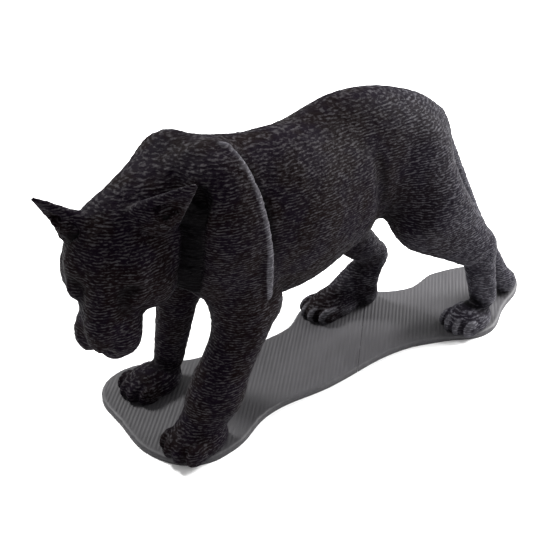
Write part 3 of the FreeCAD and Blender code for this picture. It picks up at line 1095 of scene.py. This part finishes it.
def build_base(settings):
    material = base_plastic()
    whole = base_plate(settings)
    seam = Vector((1, -1, 0)).normalized()
    for name, sign in (("base_front_plate", 1), ("base_rear_plate", -1)):
        mesh = whole.copy()
        place = seam * (SEAM_OFFSET - sign * SEAM_GAP / 2)
        trim(mesh, place, seam * sign)
        for face in mesh.faces:
            face.smooth = len(face.verts) < CAP_CORNERS
        for edge in mesh.edges:
            edge.smooth = edge.calc_face_angle(0.0) < math.radians(50)
        thing = from_bmesh(name, mesh)
        for x, y in SCREWS:
            if ((x - y) / math.sqrt(2) < SEAM_OFFSET) == (sign > 0):
                sink_screw(thing, x, y)
        finished(thing, name, material, "base_plastic")
    whole.free()


def sink_screw(thing, x, y):
    """Cuts the pocket for a countersunk screw head into the underside."""
    mesh = bmesh.new()
    bmesh.ops.create_cone(mesh, cap_ends=True, segments=48, radius1=POCKET_WIDE * MM,
                          radius2=POCKET_NARROW * MM, depth=POCKET_DEPTH * MM,
                          matrix=Matrix.Translation(Vector((x, y, POCKET_MIDDLE)) * MM))
    cutter = from_bmesh("cutter", mesh)
    modifier = thing.modifiers.new("pocket", "BOOLEAN")
    modifier.object, modifier.solver, modifier.operation = cutter, "EXACT", "DIFFERENCE"
    data = bpy.data.meshes.new_from_object(
        thing.evaluated_get(bpy.context.evaluated_depsgraph_get()))
    thing.modifiers.clear()
    thing.data = data
    bpy.data.objects.remove(cutter)


def finish_hardware():
    looks = {"dowel_wood": dowel_wood(), "screw_steel": steel("screw_steel", (0.62, 0.61, 0.6, 1)),
             "pin_steel": steel("pin_steel", (0.68, 0.68, 0.7, 1))}
    carried = {"neck_dowels": "dowel_wood", "waist_dowels": "dowel_wood",
               "foreleg_dowels": "dowel_wood", "hind_leg_dowels": "dowel_wood",
               "base_splice_pins": "pin_steel", "paw_screws": "screw_steel"}
    for node, finish in carried.items():
        thing = frame["nodes"][node]
        for slot in thing.material_slots:
            slot.material = looks[finish]


def set_stage(settings):
    mesh = bmesh.new()
    bmesh.ops.create_grid(mesh, x_segments=1, y_segments=1, size=FLOOR_SIZE)
    floor = from_bmesh("floor", mesh)
    floor.data.materials.append(floor_paper())
    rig.stage(floor)
    world = bpy.data.worlds.new("studio")
    world.use_nodes = True
    sky = world.node_tree.nodes["Background"]
    sky.inputs["Color"].default_value = (1.0, 1.0, 1.0, 1.0)
    sky.inputs["Strength"].default_value = settings.sky
    scene = bpy.context.scene
    scene.world = world
    scene.view_settings.view_transform = "Standard"
    for name, place, size in LAMPS:
        lamp = bpy.data.lights.new(name, "AREA")
        lamp.size, lamp.energy = size, getattr(settings, name)
        thing = made(name, lamp)
        thing.location = place
        away = Vector(place) - Vector(LAMP_TARGET)
        thing.rotation_euler = away.to_track_quat("Z", "Y").to_euler()
        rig.stage(thing)
    eye = bpy.data.cameras.new("eye")
    eye.lens, eye.sensor_width = EYE_LENS, EYE_SENSOR
    camera = made("eye", eye)
    camera.location = EYE_AT
    camera.rotation_euler = [math.radians(angle) for angle in EYE_TURN]
    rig.stage(camera)
    scene.camera = camera


# ---------------------------------------------------------------- add-on

class PantherBodySettings(bpy.types.PropertyGroup):
    voxel: bpy.props.FloatProperty(
        name="Cell", description="Width of one cell of the skin", default=0.73 * MM,
        unit="LENGTH", subtype="DISTANCE", precision=5)
    fuzz_depth: bpy.props.FloatProperty(
        name="Fuzz depth", description="How far the printed dashes stand out",
        default=0.36 * MM, unit="LENGTH", subtype="DISTANCE", precision=5)
    dash: bpy.props.FloatProperty(
        name="Dash length", description="Length of a printed dash", default=2.6 * MM,
        unit="LENGTH", subtype="DISTANCE", precision=5)
    layer: bpy.props.FloatProperty(
        name="Layer", description="Height of a printed dash", default=0.95 * MM,
        unit="LENGTH", subtype="DISTANCE", precision=5)
    seed: bpy.props.IntProperty(
        name="Seed", description="Number the roughness is grown from", default=3)


class PantherBaseSettings(bpy.types.PropertyGroup):
    rib_pitch: bpy.props.FloatProperty(
        name="Rib pitch", description="Distance from rib to rib", default=2.2 * MM,
        unit="LENGTH", subtype="DISTANCE", precision=5)
    rib_depth: bpy.props.FloatProperty(
        name="Rib depth", description="Depth of the grooves between ribs",
        default=0.22 * MM, unit="LENGTH", subtype="DISTANCE", precision=5)
    rim_fuzz: bpy.props.FloatProperty(
        name="Rim roughness", description="How far the plate's edge wanders",
        default=0.28 * MM, unit="LENGTH", subtype="DISTANCE", precision=5)
    seed: bpy.props.IntProperty(
        name="Seed", description="Number the roughness is grown from", default=5)


class PantherStageSettings(bpy.types.PropertyGroup):
    sky: bpy.props.FloatProperty(
        name="Surround", description="Brightness of the white surround", default=0.7)
    key: bpy.props.FloatProperty(
        name="Key", description="Power of the lamp above and behind", default=30.0,
        unit="POWER")
    rear: bpy.props.FloatProperty(
        name="Rear", description="Power of the lamp behind the hips", default=32.0,
        unit="POWER")
    front: bpy.props.FloatProperty(
        name="Front", description="Power of the fill lamp", default=1.0, unit="POWER")


def attempt(operator, work, *arguments):
    """Runs a build step; Blender is told, and the error raised, when it fails."""
    try:
        work(*arguments)
    except Exception as problem:
        operator.report({"ERROR"}, str(problem))
        raise
    return {"FINISHED"}


class PANTHER_OT_body(bpy.types.Operator):
    """Sculpt the panther and part it into its printed sections"""
    bl_idname = "panther.body"
    bl_label = "Sculpt the Panther"

    def execute(self, context):
        return attempt(self, build_body, context.scene.panther_body)


class PANTHER_OT_base(bpy.types.Operator):
    """Build the two ribbed base plates"""
    bl_idname = "panther.base"
    bl_label = "Build the Base"

    def execute(self, context):
        return attempt(self, build_base, context.scene.panther_base)


class PANTHER_OT_hardware(bpy.types.Operator):
    """Give the dowels, pins and screws their finishes"""
    bl_idname = "panther.hardware"
    bl_label = "Finish the Hardware"

    def execute(self, context):
        return attempt(self, finish_hardware)


class PANTHER_OT_stage(bpy.types.Operator):
    """Set the floor, the lights and the camera"""
    bl_idname = "panther.stage"
    bl_label = "Set the Stage"

    def execute(self, context):
        return attempt(self, set_stage, context.scene.panther_stage)


class PANTHER_PT_panel(bpy.types.Panel):
    """The figure's settings and build steps"""
    bl_label = "Panther"
    bl_idname = "PANTHER_PT_panel"
    bl_space_type = "VIEW_3D"
    bl_region_type = "UI"
    bl_category = "Panther"

    def draw(self, context):
        for group, step in ((context.scene.panther_body, "panther.body"),
                            (context.scene.panther_base, "panther.base"),
                            (None, "panther.hardware"),
                            (context.scene.panther_stage, "panther.stage")):
            box = self.layout.box()
            if group is not None:
                for name in group.__annotations__:
                    box.prop(group, name)
            box.operator(step)


CLASSES = (PantherBodySettings, PantherBaseSettings, PantherStageSettings, PANTHER_OT_body,
           PANTHER_OT_base, PANTHER_OT_hardware, PANTHER_OT_stage, PANTHER_PT_panel)


def register():
    for one in CLASSES:
        bpy.utils.register_class(one)
    scene = bpy.types.Scene
    scene.panther_body = bpy.props.PointerProperty(type=PantherBodySettings)
    scene.panther_base = bpy.props.PointerProperty(type=PantherBaseSettings)
    scene.panther_stage = bpy.props.PointerProperty(type=PantherStageSettings)


def unregister():
    for name in ("panther_body", "panther_base", "panther_stage"):
        delattr(bpy.types.Scene, name)
    for one in reversed(CLASSES):
        bpy.utils.unregister_class(one)


def main():
    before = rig.bounds()
    register()
    bpy.ops.panther.body()
    bpy.ops.panther.base()
    bpy.ops.panther.hardware()
    bpy.ops.panther.stage()
    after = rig.bounds()
    with open("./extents.json", "w") as size:
        json.dump({"before": [list(corner) for corner in before],
                   "after": [list(corner) for corner in after]}, size)


if __name__ == "__main__":
    main()
